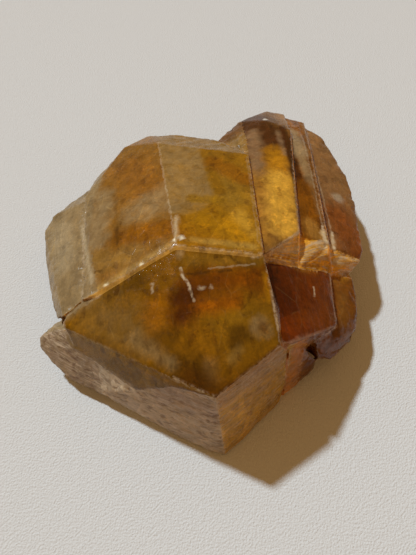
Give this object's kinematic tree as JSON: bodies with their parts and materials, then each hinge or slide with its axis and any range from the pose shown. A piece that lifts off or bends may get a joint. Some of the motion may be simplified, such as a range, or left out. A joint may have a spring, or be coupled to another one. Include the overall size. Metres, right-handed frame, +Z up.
{
  "type": "calcite specimen",
  "caption": "Lump of honey-coloured calcite with flat cleavage faces, a sharp front corner and stepped columns, lying on its flat broken underside.",
  "frame": {"origin": "middle of the stone's bounding box, on the surface that it rests on", "axes": "+Z up from the resting face, +Y along the stone's longest side, from the sharp front corner to the stepped columns at the back; the sharp corner faces -Y"},
  "size_m": [0.089, 0.105, 0.028],
  "materials": {
    "honey_calcite": "translucent honey-amber calcite: glassy on the cleavage faces, clouded and veiled inside, rough and striated grey-tan on the broken walls"
  },
  "bodies": {
    "root": {"calcite_specimen": "honey_calcite"}
  },
  "joints": []
}
